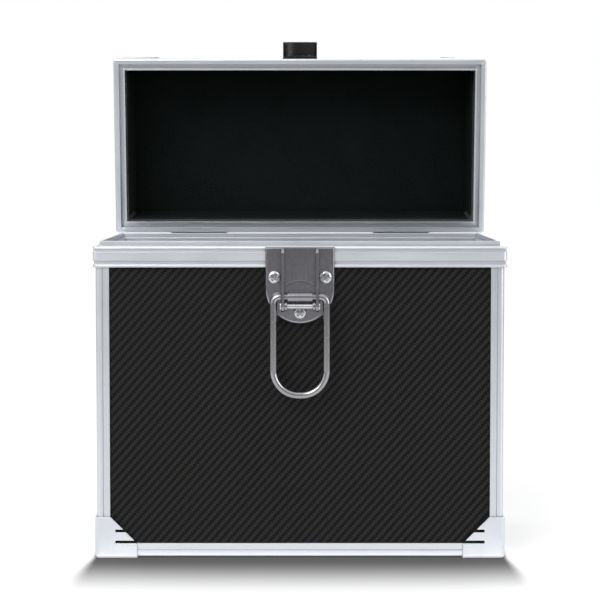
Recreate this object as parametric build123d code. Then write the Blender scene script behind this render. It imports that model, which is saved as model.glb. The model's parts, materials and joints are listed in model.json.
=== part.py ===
from build123d import *

import os
from math import cos, radians, sin

# Record carrying case: boards held in slotted aluminium edge extrusions, a hinged lid and one
# over-centre draw latch. Millimetres, +Z up, -Y is the front. Everything is modelled about the
# middle of the body, with the lid closed. save() then turns the lid's pieces open and moves all
# of them so that the origin is on the ground under the middle of the opened case.

# ---- Sizes that are set by themselves ----
inner_width = 185.2
inner_depth = 79.2
body_height = 152.0
lid_height = 46.7
lid_open_angle = 84.0
seam_gap = 0.3

board = 2.5
lining = 2.5
skin = 1.2
rim_proud = 1.2
slide_gap = 0.05
end_gap = 0.2

edge_leg = 6.6
edge_wall = 1.2
edge_flange = 1.0
edge_radius = 2.0
rail_end_radius = 2.2
edge_line_at = 3.2
edge_line_size = 0.5
edge_line_depth = 0.3

rim_height = 10.3
rim_inner_wall = 1.15
rim_web = 1.2
rim_round = 1.0
rim_line_top = 1.2
rim_line_height = 1.5
rim_line_depth = 0.5
rim_groove_top = 7.0
rim_groove_height = 1.7
rim_groove_depth = 0.7
rim_bead_round = 0.6
tongue_at = 3.2
tongue_width = 1.4
tongue_height = 2.4
tongue_clear_out = 0.6
tongue_clear_in = 0.3
tongue_clear_top = 1.1

guard_thickness = 0.8
guard_size = 20.4
guard_leg = 7.6
guard_slot_heights = (8.2, 13.6)
guard_slot_width = 1.4
guard_slot_start = 10.0

hinge_inset = 45.0
hinge_width = 30.0
hinge_leaf = 1.2
hinge_leaf_height = 10.0
knuckle_radius = 2.2
hinge_pin_radius = 1.3
hinge_pin_head = 1.8
hinge_pin_head_height = 0.6
hinge_rivet_offset = 9.0
hinge_rivet_height = 5.4
stop_lug_length = 7.0
pin_clearance = 0.05
knuckle_gap = 0.3
rivet_radius = 1.2
rivet_head_radius = 2.0
rivet_head_height = 0.9
rivet_shank = 1.2

latch_margin = 1.35
latch_drop = 37.3
latch_top_gap = 0.3
latch_sheet = 1.2
latch_edge_round = 1.0
latch_screw_radius = 1.5
latch_screw_head = 3.1
latch_screw_dome = 1.2
latch_screw_depth = 2.0
side_screw_lever_gap = 0.3
side_screw_gap = 1.5
low_screw_drop = 31.9
pivot_drop = 28.5
pivot_out = 4.2
pivot_pin_radius = 1.4
pivot_pin_head = 2.2
pivot_pin_head_height = 0.7
ear_thickness = 1.2
ear_gap = 0.25
ear_radius = 2.4
lever_width = 17.7
lever_top_gap = 0.7
lever_web_back = 3.6
lever_radius = 2.8
lever_web_start = 10.0
lever_web_curve = 11.0
lever_travel = 184.0
bush_offset = 4.4
bush_radius = 2.3
trunnion_radius = 1.6

wire_radius = 1.8
wire_end_radius = 1.0
wire_end_reach = 5.0
bail_play = 2.15
bail_length = 47.2
bail_bottom_radius = 12.0
bail_top_radius = 3.0
bail_side_gap = 0.3

catch_play = 0.25
catch_sheet = 1.2
catch_start = 1.7
catch_reach = 8.6
catch_lip = 5.2
catch_sag = 4.7
catch_lip_round = 1.5
catch_rivet_x = 5.5
catch_rivet_up = 4.0
hook_gap = 0.2

handle_half_span = 36.0
handle_reach = 28.0
handle_pivot_height = 8.2
grip_half_width = 6.0
grip_half_height = 4.6
handle_corner = 13.0
grip_end_bevel = 1.3
boss_radius = 5.0
boss_width = 6.0
handle_pin_radius = 2.0
handle_pin_head = 3.2
handle_pin_head_height = 0.8
bracket_sheet = 1.2
bracket_length = 26.0
bracket_ear_radius = 4.4
bracket_rivet_at = 9.0
bracket_gap = 0.3

# ---- Sizes worked out from them ----
wall = lining + board + skin + rim_proud
rim_x = inner_width / 2 + wall
rim_y = inner_depth / 2 + wall
trim_x = rim_x - rim_proud
trim_y = rim_y - rim_proud
panel_inset = rim_proud + skin
edge_tube = skin + board + slide_gap + edge_flange
panel_end = edge_tube + end_gap
floor_top = guard_thickness + edge_leg - slide_gap
rim_depth = panel_inset + board + slide_gap + rim_inner_wall
total_height = body_height + seam_gap + lid_height
axis_y = rim_y + knuckle_radius
axis_z = body_height + seam_gap / 2
latch_face = -rim_y - latch_sheet
pivot_y = latch_face - pivot_out
pivot_z = body_height - pivot_drop
bush_z = pivot_z + bush_offset
handle_z = total_height - guard_thickness - skin + handle_pivot_height
hinge_x = rim_x - hinge_inset
leg_x = lever_width / 2 + bail_play + wire_radius
catch_width = lever_width + 2 * catch_play
side_screw_drop = rim_height + side_screw_gap + latch_screw_head
side_screw_x = lever_width / 2 + side_screw_lever_gap + latch_screw_head
latch_width = 2 * (side_screw_x + latch_screw_head + latch_margin)

# The opened lid reaches further back than the latch reaches forward, so the middle of the
# opened case lies behind the middle of the body.
open_turn = radians(lid_open_angle)
grip_back = sin(open_turn) * (handle_z - axis_z) - cos(open_turn) * (axis_y - handle_reach)
open_back = axis_y + grip_back + grip_half_height
body_middle_y = -(open_back + pivot_y - lever_radius) / 2

lid_turn = Pos(0, axis_y, axis_z) * Rot(-lid_open_angle, 0, 0) * Pos(0, -axis_y, -axis_z)
into_frame = Pos(0, body_middle_y, 0)


def save(name, shape):
    export_step(into_frame * shape, f"parts/{name}.step")


def save_on_lid(name, shape):
    save(name, lid_turn * shape)


def turned_over(shape):
    """A piece of a tray that stands on the ground, as it lies in the closed lid."""
    return Pos(0, 0, total_height) * mirror(shape, about=Plane.XY)


def block(x, y, z):
    """A box between three (low, high) pairs."""
    return Pos(x[0], y[0], z[0]) * Box(
        x[1] - x[0], y[1] - y[0], z[1] - z[0], align=(Align.MIN, Align.MIN, Align.MIN)
    )


def area(u, v):
    """A rectangle between two (low, high) pairs."""
    low_corner = (Align.MIN, Align.MIN)
    return Pos(u[0], v[0]) * Rectangle(u[1] - u[0], v[1] - v[0], align=low_corner)


def rounded(sketch, corners, radius):
    """The sketch with the vertices at these points rounded."""
    near = [
        v
        for v in sketch.vertices()
        if any(abs(v.X - x) < 1e-4 and abs(v.Y - y) < 1e-4 for x, y in corners)
    ]
    return fillet(near, radius)


def rod(start, end, radius):
    """A round bar along X between two places."""
    middle = ((start[0] + end[0]) / 2, start[1], start[2])
    return Pos(*middle) * Rot(0, 90, 0) * Cylinder(radius, abs(end[0] - start[0]))


def side_section(sketch, x):
    """A sketch whose axes are Y and Z, stood in the plane at x."""
    return Plane(origin=(x, 0, 0), x_dir=(0, 1, 0), z_dir=(1, 0, 0)) * sketch


def front_section(sketch, y):
    """A sketch whose axes are X and Z, stood in the plane at y, facing the front."""
    return Plane(origin=(0, y, 0), x_dir=(1, 0, 0), z_dir=(0, -1, 0)) * sketch


# ---- Extrusions ----
def edge_section():
    """Corner extrusion: two outer legs, a square tube and two inner flanges that hold the boards."""
    shape = area((0, edge_leg), (0, edge_wall)) + area((0, edge_wall), (0, edge_leg))
    shape += area((0, edge_tube), (0, edge_tube))
    slot = skin + board + slide_gap
    flange = (slot, slot + edge_flange)
    shape += area((edge_tube, edge_leg), flange) + area(flange, (edge_tube, edge_leg))
    hollow = (edge_wall, slot - edge_wall + edge_flange)
    shape -= area(hollow, hollow)
    shape = rounded(shape, [(0, 0)], edge_radius)
    line = (edge_line_at, edge_line_at + edge_line_size)
    depth = (0, edge_line_depth)
    return shape - area(line, depth) - area(depth, line)


def rim_outline():
    """Shared half of both rim extrusions, from the seam down: line, face, groove and bead."""
    shape = area((0, rim_depth), (-rim_height, 0))
    shape -= area((0, rim_line_depth), (-rim_line_top - rim_line_height, -rim_line_top))
    groove = (-rim_groove_top - rim_groove_height, -rim_groove_top)
    shape -= area((0, rim_groove_depth), groove)
    shape = rounded(shape, [(0, 0)], rim_round)
    return rounded(shape, [(0, -rim_height), (0, groove[0])], rim_bead_round)


def board_slot():
    return (panel_inset, panel_inset + board + slide_gap)


def lower_rim_section():
    tongue = area((tongue_at, tongue_at + tongue_width), (-rim_web, tongue_height))
    return rim_outline() - area(board_slot(), (-rim_height, -rim_web)) + tongue


def upper_rim_section():
    """The upper rim's seam face has the groove that the lower rim's tongue goes into."""
    left = tongue_at - tongue_clear_in
    right = tongue_at + tongue_width + tongue_clear_out
    groove = area((left, right), (-seal_depth(), 0))
    slot = area(board_slot(), (-rim_height, -seal_depth() - rim_web))
    return rim_outline() - groove - slot


def seal_depth():
    return tongue_height + tongue_clear_top


def mitred_bar(section, half_length, outside, z, depth, radius):
    """The front bar of a mitred ring of extrusions, with the ring's rounded corners."""
    start = Plane(origin=(-half_length, -outside, z), x_dir=(0, 1, 0), z_dir=(1, 0, 0))
    bar = extrude(start * section, amount=2 * half_length, dir=(1, 0, 0))
    past = 2 * depth
    inner = half_length - past
    plan = Polygon(
        (-half_length, -outside),
        (half_length, -outside),
        (inner, -outside + past),
        (-inner, -outside + past),
        align=None,
    )
    plan &= RectangleRounded(2 * half_length, 2 * outside, radius)
    return bar & Pos(0, 0, z - past) * extrude(plan, amount=2 * past, dir=(0, 0, 1))


def ring_of_bars(section, half_x, half_y, z, depth, radius):
    front = mitred_bar(section, half_x, half_y, z, depth, radius)
    left = Rot(0, 0, -90) * mitred_bar(section, half_y, half_x, z, depth, radius)
    turn = Rot(0, 0, 180)
    return {"front": front, "back": turn * front, "left": left, "right": turn * left}


def at_corners(shape, x, y):
    """Four copies of a corner piece that is drawn for the front left corner."""
    places = [("front_left", -x, -y, 0), ("front_right", x, -y, 90)]
    places += [("back_right", x, y, 180), ("back_left", -x, y, 270)]
    return {name: Pos(px, py, 0) * Rot(0, 0, turn) * shape for name, px, py, turn in places}


# ---- One half of the case, drawn as an open tray that stands on its corner guards ----
def tray_panels(height, slot_roof):
    """The floor board and the four wall boards, each held in the slots of the extrusions."""
    low = guard_thickness + panel_end
    top = height - slot_roof - end_gap
    span_x = (-trim_x + panel_end, trim_x - panel_end)
    span_y = (-trim_y + panel_end, trim_y - panel_end)
    side = (-trim_x + skin, -trim_x + skin + board)
    front = (-trim_y + skin, -trim_y + skin + board)
    floor = (guard_thickness + skin, guard_thickness + skin + board)
    turn = Rot(0, 0, 180)
    front_panel = block(span_x, front, (low, top))
    left_panel = block(side, span_y, (low, top))
    return {
        "floor": block(span_x, span_y, floor),
        "front": front_panel,
        "back": turn * front_panel,
        "left": left_panel,
        "right": turn * left_panel,
    }


def corner_guard():
    """A drawn corner cap over three faces, cut off at a slant, with two slots in each upright face."""
    size = guard_size
    outer = block((0, size), (0, size), (0, size))
    inner = Pos(guard_thickness, guard_thickness, guard_thickness) * outer
    cap = fillet(corner_edges(outer, 0), edge_radius)
    cap -= fillet(corner_edges(inner, guard_thickness), edge_radius - guard_thickness)
    slant = Polygon((guard_leg, size), (size, guard_leg), (size, size), align=None)
    cap -= extrude(slant, amount=size)
    cap -= extrude(side_section(slant, 0), amount=size)
    cap -= extrude(front_section(slant, size), amount=size)
    for z in guard_slot_heights:
        slot = (z - guard_slot_width / 2, z + guard_slot_width / 2)
        cap -= block((guard_slot_start, size), (0, guard_thickness), slot)
        cap -= block((0, guard_thickness), (guard_slot_start, size), slot)
    return cap


def corner_edges(box, at):
    """The three edges that meet at the corner (at, at, at)."""
    corner = Vector(at, at, at)
    reach = guard_size / 2 + guard_thickness
    return [e for e in box.edges() if (e.center() - corner).length < reach]


def tray_lining(height):
    """Soft lining of the walls, one sheet a side, cut back where the posts' flanges stand."""
    out_x = trim_x - skin - board
    out_y = trim_y - skin - board
    band = (guard_thickness + edge_leg, height - rim_height - end_gap)
    ring = block((-out_x, out_x), (-out_y, out_y), band)
    ring -= block(
        (-out_x + lining, out_x - lining), (-out_y + lining, out_y - lining), band
    )
    reach = max(edge_leg + slide_gap, skin + board + lining + end_gap)
    relief = block((0, reach), (0, reach), band)
    for cut in at_corners(relief, trim_x, trim_y).values():
        ring -= cut
    return ring


def floor_lining():
    """Soft lining of the floor, lapped over the rails' flanges as far as the walls' lining."""
    low = guard_thickness + skin + board
    lap = guard_thickness + edge_tube + slide_gap
    between_flanges = edge_leg + slide_gap
    between_tubes = edge_tube + slide_gap
    pad = Part()
    for inset, band in ((between_flanges, (low, lap)), (between_tubes, (lap, floor_top))):
        x = trim_x - inset
        y = trim_y - inset
        pad += block((-x, x), (-y, y), band)
    return pad


def tray(height, rim_section, slot_roof):
    """Every piece of one half, by name."""
    pieces = {}
    for side, panel in tray_panels(height, slot_roof).items():
        pieces[f"{side}_panel"] = panel
    rails = ring_of_bars(
        edge_section(), trim_x, trim_y, guard_thickness, edge_leg, rail_end_radius
    )
    for side, bar in rails.items():
        pieces[f"{side}_edge_rail"] = bar
    rims = ring_of_bars(rim_section, rim_x, rim_y, height, rim_depth, edge_radius)
    for side, bar in rims.items():
        pieces[f"{side}_rim_rail"] = bar
    low = guard_thickness + edge_leg
    post = extrude(edge_section(), amount=height - rim_height - low, dir=(0, 0, 1))
    post = Pos(0, 0, low) * post
    for corner, bar in at_corners(post, trim_x, trim_y).items():
        pieces[f"{corner}_post"] = bar
    outside = guard_thickness
    guards = at_corners(corner_guard(), trim_x + outside, trim_y + outside)
    for corner, cap in guards.items():
        pieces[f"{corner}_corner_guard"] = cap
    pieces["wall_lining"] = tray_lining(height)
    pieces["floor_lining"] = floor_lining()
    return pieces


# ---- Fasteners ----
def dome_head(radius, height):
    """A domed head standing on z = 0."""
    ball = (radius**2 + height**2) / (2 * height)
    cap = Pos(0, 0, height - ball) * Sphere(ball)
    return cap & Pos(0, 0, height) * Cylinder(radius, 2 * height)


def rivet():
    """A set rivet whose flattened head sits on z = 0 and whose shank fills a sheet."""
    head = Cone(rivet_head_radius, rivet_radius, rivet_head_height)
    shank = Cylinder(rivet_radius, rivet_shank, align=(Align.CENTER, Align.CENTER, Align.MAX))
    return Pos(0, 0, rivet_head_height / 2) * head + shank


def screw():
    """A domed screw whose head sits on z = 0, through the base plate and into the board."""
    length = latch_sheet + panel_inset + latch_screw_depth
    shank = Pos(0, 0, -length / 2) * Cylinder(latch_screw_radius, length)
    return dome_head(latch_screw_head, latch_screw_dome) + shank


def headed_pin(middle, half, radius, head):
    """A pin along X with a flat head on each end; head is its (radius, height)."""
    x, y, z = middle
    pin = rod((x - half, y, z), (x + half, y, z), radius)
    for side in (-1, 1):
        start = x + side * half
        pin += rod((start, y, z), (start + side * head[1], y, z), head[0])
    return pin


def facing_front(x, y, z):
    return Pos(x, y, z) * Rot(90, 0, 0)


def facing_back(x, y, z):
    return Pos(x, y, z) * Rot(-90, 0, 0)


# ---- Hinges ----
def knuckle(x_from, x_to):
    return rod((x_from, axis_y, axis_z), (x_to, axis_y, axis_z), knuckle_radius)


def hinge_bore(x):
    start = (x - hinge_width, axis_y, axis_z)
    end = (x + hinge_width, axis_y, axis_z)
    return rod(start, end, hinge_pin_radius + pin_clearance)


def body_leaf(x):
    """Leaf on the lower rim, with its two outer knuckles."""
    half = hinge_width / 2
    third = hinge_width / 6
    leaf = (rim_y, rim_y + hinge_leaf)
    shape = block((x - half, x + half), leaf, (axis_z - hinge_leaf_height, axis_z))
    shape += knuckle(x - half, x - third) + knuckle(x + third, x + half)
    room = knuckle_radius + knuckle_gap
    shape -= block((x - third, x + third), (rim_y, axis_y + room), (axis_z - room, axis_z + room))
    return shape - hinge_bore(x) - hinge_rivet_holes(x, -1)


def lid_leaf(x):
    """Leaf on the upper rim, with the middle knuckle and the lug that stops the opened lid."""
    half = hinge_width / 2
    third = hinge_width / 6 - knuckle_gap
    leaf = (rim_y, rim_y + hinge_leaf)
    shape = block((x - half, x + half), leaf, (axis_z, axis_z + hinge_leaf_height))
    room = knuckle_radius + knuckle_gap
    for side in (-1, 1):
        ends = sorted((x + side * third, x + side * half))
        shape -= block(ends, leaf, (axis_z, axis_z + room))
    shape += knuckle(x - third, x + third)
    lug_face = leaf[1] + slide_gap
    lug = block(
        (x - third, x + third),
        (lug_face, lug_face + hinge_leaf),
        (axis_z - stop_lug_length, axis_z),
    )
    shape += lid_turn_back() * lug
    return shape - hinge_bore(x) - hinge_rivet_holes(x, 1)


def lid_turn_back():
    """Brings what is drawn at the opened lid to the closed lid."""
    return Pos(0, axis_y, axis_z) * Rot(lid_open_angle, 0, 0) * Pos(0, -axis_y, -axis_z)


def hinge_rivet_places(x, side):
    z = axis_z + side * hinge_rivet_height
    return [(x - hinge_rivet_offset, z), (x + hinge_rivet_offset, z)]


def hinge_rivet_holes(x, side):
    cuts = Part()
    for px, pz in hinge_rivet_places(x, side):
        cuts += facing_back(px, rim_y, pz) * Cylinder(rivet_radius, 4 * hinge_leaf)
    return cuts


def hinge_rivets(side):
    places = [p for x in (-hinge_x, hinge_x) for p in hinge_rivet_places(x, side)]
    return Compound([facing_back(px, rim_y + hinge_leaf, pz) * rivet() for px, pz in places])


def hinge_pins():
    half = hinge_width / 2 + slide_gap
    places = [(x, axis_y, axis_z) for x in (-hinge_x, hinge_x)]
    head = (hinge_pin_head, hinge_pin_head_height)
    return Compound([headed_pin(place, half, hinge_pin_radius, head) for place in places])


# ---- Latch ----
def latch_base():
    """Pressed base plate whose edges turn back to the panel; two ears carry the lever's pin."""
    top = body_height - latch_top_gap
    low = body_height - latch_drop
    below_rim = body_height - rim_height - slide_gap
    half = latch_width / 2
    outline = area((-half, half), (low + half, top)) + Pos(0, low + half) * Circle(half)
    plate = extrude(front_section(outline, -rim_y), amount=latch_sheet)
    plate = fillet(plate.faces().sort_by(Axis.Y)[0].edges(), latch_edge_round)
    lower = outline & area((-half, half), (low, below_rim))
    skirt = lower - offset(lower, -latch_sheet)
    plate += extrude(front_section(skirt, -rim_y + panel_inset), amount=panel_inset)
    for x, z in latch_screw_places():
        plate -= facing_front(x, -rim_y, z) * Cylinder(latch_screw_radius, 4 * latch_sheet)
    for side in (-1, 1):
        plate += latch_ear(side)
    return plate


def latch_ear(side):
    root = latch_face + latch_sheet / 2
    outline = Pos(pivot_y, pivot_z) * Circle(ear_radius)
    outline += area((pivot_y, root), (pivot_z - ear_radius, pivot_z + ear_radius))
    outline -= Pos(pivot_y, pivot_z) * Circle(pivot_pin_radius)
    start = ear_inside() if side > 0 else -ear_inside() - ear_thickness
    return extrude(side_section(outline, start), amount=ear_thickness)


def ear_inside():
    """Half of the room between the two ears."""
    return lever_width / 2 - latch_sheet - ear_gap - ear_thickness


def latch_screw_places():
    high = body_height - side_screw_drop
    return [
        (-side_screw_x, high),
        (side_screw_x, high),
        (0, body_height - low_screw_drop),
    ]


def latch_screws():
    places = latch_screw_places()
    return Compound([facing_front(x, latch_face, z) * screw() for x, z in places])


def drilled_front_panel(panel):
    face = -rim_y + panel_inset
    for x, z in latch_screw_places():
        hole = Pos(0, 0, -latch_screw_depth / 2) * Cylinder(latch_screw_radius, latch_screw_depth)
        panel -= facing_front(x, face, z) * hole
    return panel


def latch_pin():
    """The lever's pin, riveted over in the two ears."""
    half = lever_width / 2 + slide_gap
    head = (pivot_pin_head, pivot_pin_head_height)
    return headed_pin((0, pivot_y, pivot_z), half, pivot_pin_radius, head)


def latch_lever():
    """Channel-shaped lever, drawn up against the body: a web behind and two flanges on the pin."""
    half = lever_width / 2
    back = pivot_y + lever_web_back
    top = body_height - lever_top_gap
    outer = pivot_y - lever_radius
    flange = Pos(pivot_y, pivot_z) * Circle(lever_radius)
    flange += area((outer, pivot_y + lever_radius), (pivot_z, bush_z))
    blend = Polygon(
        (outer, bush_z),
        (pivot_y + lever_radius, bush_z),
        (back, bush_z + lever_web_back),
        (back, top),
        (outer, top),
        align=None,
    )
    flange += blend
    flange = rounded(flange, [(outer, top)], lever_radius)
    flange -= Pos(pivot_y, pivot_z) * Circle(pivot_pin_radius + pin_clearance)
    flange -= Pos(pivot_y, bush_z) * Circle(trunnion_radius + pin_clearance)
    left = extrude(side_section(flange, -half), amount=latch_sheet)
    right = extrude(side_section(flange, half - latch_sheet), amount=latch_sheet)
    web_low = pivot_z + lever_web_start
    sheet = area((-half, half), (web_low, top))
    sheet -= Pos(0, web_low - half) * Circle(lever_web_curve)
    web = Pos(0, back, 0) * extrude(front_section(sheet, 0), amount=latch_sheet)
    return left + right + web


def bail_bush():
    """The bush across the lever that the wire loop's ends turn in."""
    inner = ear_inside() - ear_gap
    outer = lever_width / 2
    bush = rod((-inner, pivot_y, bush_z), (inner, pivot_y, bush_z), bush_radius)
    bush += rod((-outer, pivot_y, bush_z), (outer, pivot_y, bush_z), trunnion_radius)
    bore = wire_end_radius + pin_clearance
    return bush - rod((-outer, pivot_y, bush_z), (outer, pivot_y, bush_z), bore)


def bail():
    """Wire loop, drawn hanging: thinned ends in the bush, two legs and a rounded crossing."""
    start = lever_width / 2 + bail_side_gap
    low = bush_z - bail_length
    path = FilletPolyline(
        (-start, pivot_y, bush_z),
        (-leg_x, pivot_y, bush_z),
        (-leg_x, pivot_y, low),
        (leg_x, pivot_y, low),
        (leg_x, pivot_y, bush_z),
        (start, pivot_y, bush_z),
        radius=[bail_top_radius, bail_bottom_radius, bail_bottom_radius, bail_top_radius],
    )
    section = Plane(origin=path @ 0, z_dir=path % 0) * Circle(wire_radius)
    wire = sweep(section, path=path)
    for side in (-1, 1):
        end = (side * (start - wire_end_reach), pivot_y, bush_z)
        wire += rod((side * start, pivot_y, bush_z), end, wire_end_radius)
    return wire


# ---- Catch on the lid's front rim ----
def hook_floor():
    """Top of the catch's floor, just under the wire of the locked loop."""
    locked = radians(lever_travel)
    return pivot_z + bush_offset * cos(locked) + bail_length - wire_radius - hook_gap


def arched_band(top, thickness, depth):
    """A band that sags towards the catch's sides, as wide as the catch and this deep below."""
    half = catch_width / 2
    disc = Pos(0, top - arch_radius()) * Circle(arch_radius())
    band = disc - Pos(0, -thickness) * disc if thickness else disc
    return band & area((-half, half), (top - depth, top))


def catch():
    """J-shaped strip: a plate on the rim, an arched floor and the lip that holds the wire."""
    half = catch_width / 2
    face = -rim_y
    low = body_height + seam_gap + catch_start
    top = hook_floor()
    deep = catch_sag + 2 * catch_sheet
    plate = area((-half, half), (low, top - catch_sag)) + arched_band(top, 0, catch_sag)
    strip = extrude(front_section(plate, face), amount=catch_sheet)
    strip += extrude(front_section(arched_band(top, catch_sheet, deep), face), amount=catch_reach)
    lip = area((-half, half), (top - catch_sag, top + catch_lip))
    lip += arched_band(top, 0, deep) & area((-half, half), (top - deep, top))
    lip -= Pos(0, top - catch_sheet - arch_radius()) * Circle(arch_radius())
    lip = rounded(lip, [(-half, top + catch_lip), (half, top + catch_lip)], catch_lip_round)
    strip += extrude(front_section(lip, face - catch_reach + catch_sheet), amount=catch_sheet)
    for x, z in catch_rivet_places():
        strip -= facing_front(x, face, z) * Cylinder(rivet_radius, 4 * catch_sheet)
    return strip


def arch_radius():
    half = catch_width / 2
    return (half**2 + catch_sag**2) / (2 * catch_sag)


def catch_rivet_places():
    z = body_height + seam_gap + catch_start + catch_rivet_up
    return [(-catch_rivet_x, z), (catch_rivet_x, z)]


def catch_rivets():
    seat = -rim_y - catch_sheet
    return Compound([facing_front(x, seat, z) * rivet() for x, z in catch_rivet_places()])


# ---- Carrying handle on the lid's top ----
def handle():
    """Moulded bow, drawn folded towards the hinges, with a boss at each end."""
    path = FilletPolyline(
        (-handle_half_span, 0, handle_z),
        (-handle_half_span, handle_reach, handle_z),
        (handle_half_span, handle_reach, handle_z),
        (handle_half_span, 0, handle_z),
        radius=handle_corner,
    )
    start = Plane(origin=path @ 0, x_dir=(1, 0, 0), z_dir=path % 0)
    shape = sweep(start * Circle(grip_half_height), path=path)
    half_grip = handle_half_span - handle_corner
    grip = SlotOverall(2 * grip_half_width, 2 * grip_half_height)
    grip = side_section(Pos(handle_reach, handle_z) * grip, -half_grip)
    grip = extrude(grip, amount=2 * half_grip)
    ends = grip.faces().sort_by(Axis.X)
    shape += chamfer(ends[0].edges() + ends[-1].edges(), grip_end_bevel)
    reach = (-boss_radius, boss_radius)
    height = (handle_z - boss_radius, handle_z + boss_radius)
    for x in (-handle_half_span, handle_half_span):
        low = x - boss_width / 2
        high = x + boss_width / 2
        boss = (low, 0, handle_z), (high, 0, handle_z)
        shape += rod(*boss, boss_radius)
        shape -= block((low - boss_width, low), reach, height)
        shape -= block((high, high + boss_width), reach, height)
        shape -= rod(*boss, handle_pin_radius + pin_clearance)
    return shape


def handle_ears(x):
    """The faces of the two ears that stand beside the boss at x."""
    near = boss_width / 2 + bracket_gap
    return (x - near - bracket_sheet, x + near)


def handle_brackets():
    """Two pressed clevises, each with a base on the lid's top board."""
    face = total_height - guard_thickness - skin
    half = bracket_length / 2
    brackets = []
    for x in (-handle_half_span, handle_half_span):
        left, right = handle_ears(x)
        bracket = block((left, right + bracket_sheet), (-half, half), (face, face + bracket_sheet))
        ear = area((-bracket_ear_radius, bracket_ear_radius), (face, handle_z))
        ear += Pos(0, handle_z) * Circle(bracket_ear_radius)
        ear -= Pos(0, handle_z) * Circle(handle_pin_radius)
        for start in (left, right):
            bracket += extrude(side_section(ear, start), amount=bracket_sheet)
        for y in (-bracket_rivet_at, bracket_rivet_at):
            bracket -= Pos(x, y, face) * Cylinder(rivet_radius, 4 * bracket_sheet)
        brackets.append(bracket)
    return Compound(brackets)


def handle_rivets():
    seat = total_height - guard_thickness - skin + bracket_sheet
    places = [
        (x, y)
        for x in (-handle_half_span, handle_half_span)
        for y in (-bracket_rivet_at, bracket_rivet_at)
    ]
    return Compound([Pos(x, y, seat) * rivet() for x, y in places])


def handle_pins():
    half = boss_width / 2 + bracket_gap + bracket_sheet
    places = [(x, 0, handle_z) for x in (-handle_half_span, handle_half_span)]
    head = (handle_pin_head, handle_pin_head_height)
    return Compound([headed_pin(place, half, handle_pin_radius, head) for place in places])


# ---- Everything, one file for each piece ----
def save_body():
    pieces = tray(body_height, lower_rim_section(), rim_web)
    pieces["front_panel"] = drilled_front_panel(pieces["front_panel"])
    for name, piece in pieces.items():
        save(f"body_{name}", piece)
    save("latch_base", latch_base())
    save("latch_screws", latch_screws())
    save("latch_pin", latch_pin())
    save("hinge_body_leaves", Compound([body_leaf(-hinge_x), body_leaf(hinge_x)]))
    save("hinge_body_rivets", hinge_rivets(-1))
    save("hinge_pins", hinge_pins())


def save_lid():
    pieces = tray(lid_height, upper_rim_section(), seal_depth() + rim_web)
    posts = [pieces.pop(name) for name in list(pieces) if name.endswith("_post")]
    pieces["posts"] = Compound(posts)
    for name, piece in pieces.items():
        on_lid = name.replace("floor", "top")
        save_on_lid(f"lid_{on_lid}", turned_over(piece))
    save_on_lid("catch", catch())
    save_on_lid("catch_rivets", catch_rivets())
    save_on_lid("hinge_lid_leaves", Compound([lid_leaf(-hinge_x), lid_leaf(hinge_x)]))
    save_on_lid("hinge_lid_rivets", hinge_rivets(1))
    save_on_lid("handle_brackets", handle_brackets())
    save_on_lid("handle_rivets", handle_rivets())
    save_on_lid("handle_pins", handle_pins())


def save_moving():
    save("latch_lever", latch_lever())
    save("bail_bush", bail_bush())
    save("bail", bail())
    save_on_lid("handle", handle())


os.makedirs("parts", exist_ok=True)
save_body()
save_lid()
save_moving()
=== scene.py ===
import json
from math import radians

import bmesh
import bpy
from bpy.props import FloatProperty, FloatVectorProperty, IntProperty, PointerProperty
from mathutils import Matrix, Vector, noise

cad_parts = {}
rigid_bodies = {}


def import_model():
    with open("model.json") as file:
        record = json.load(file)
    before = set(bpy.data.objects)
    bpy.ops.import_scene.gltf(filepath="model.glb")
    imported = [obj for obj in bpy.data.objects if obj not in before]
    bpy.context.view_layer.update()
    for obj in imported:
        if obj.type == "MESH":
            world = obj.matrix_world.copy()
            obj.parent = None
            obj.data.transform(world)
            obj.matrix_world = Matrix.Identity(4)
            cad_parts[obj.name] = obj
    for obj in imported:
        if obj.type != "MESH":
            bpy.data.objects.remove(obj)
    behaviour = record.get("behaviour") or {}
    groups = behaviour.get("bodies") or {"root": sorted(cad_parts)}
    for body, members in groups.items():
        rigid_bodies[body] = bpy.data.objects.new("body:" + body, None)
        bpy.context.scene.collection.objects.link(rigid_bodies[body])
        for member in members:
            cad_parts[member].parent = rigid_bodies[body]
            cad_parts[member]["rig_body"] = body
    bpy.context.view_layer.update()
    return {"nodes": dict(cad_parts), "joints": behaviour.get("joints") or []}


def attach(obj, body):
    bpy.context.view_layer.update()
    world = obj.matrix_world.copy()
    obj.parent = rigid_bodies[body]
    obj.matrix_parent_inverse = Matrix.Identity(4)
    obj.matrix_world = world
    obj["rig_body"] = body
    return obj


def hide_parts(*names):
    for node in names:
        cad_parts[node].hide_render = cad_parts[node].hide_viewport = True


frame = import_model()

bl_info = {
    "name": "Record carrying case",
    "version": (1, 0, 0),
    "blender": (4, 5, 0),
    "location": "3D View > Sidebar > Record case",
    "description": "Finishes, linings, screws, rivets and stage for a record carrying case",
    "category": "Object",
}

BODY = "case_body"
LID = "lid"

MERGED = 1e-6  # vertices nearer than this are one
TOUCHING = 1e-5  # a point nearer than this to a level lies on it
APART = 1e-4  # a distance larger than this is there on purpose
SORT_PLACES = 4  # solids are put in order by their middles, to a tenth of a millimetre

FRONT = Vector((0, -1, 0))
BACK = Vector((0, 1, 0))
TOP = Vector((0, 0, 1))

BLACK = (0.0, 0.0, 0.0)
WHITE = (1.0, 1.0, 1.0)


# ---- Where things are ----
def joint(name):
    return next(j for j in frame["joints"] if j["name"] == name)


LID_AXIS = Vector(joint("lid_hinge")["pos_m"])
LID_ANGLE = radians(joint("lid_hinge")["range_deg"][1])
TO_AXIS = Matrix.Translation(LID_AXIS)
OPENED = TO_AXIS @ Matrix.Rotation(-LID_ANGLE, 4, "X") @ Matrix.Translation(-LID_AXIS)
CLOSED = OPENED.inverted()


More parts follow.
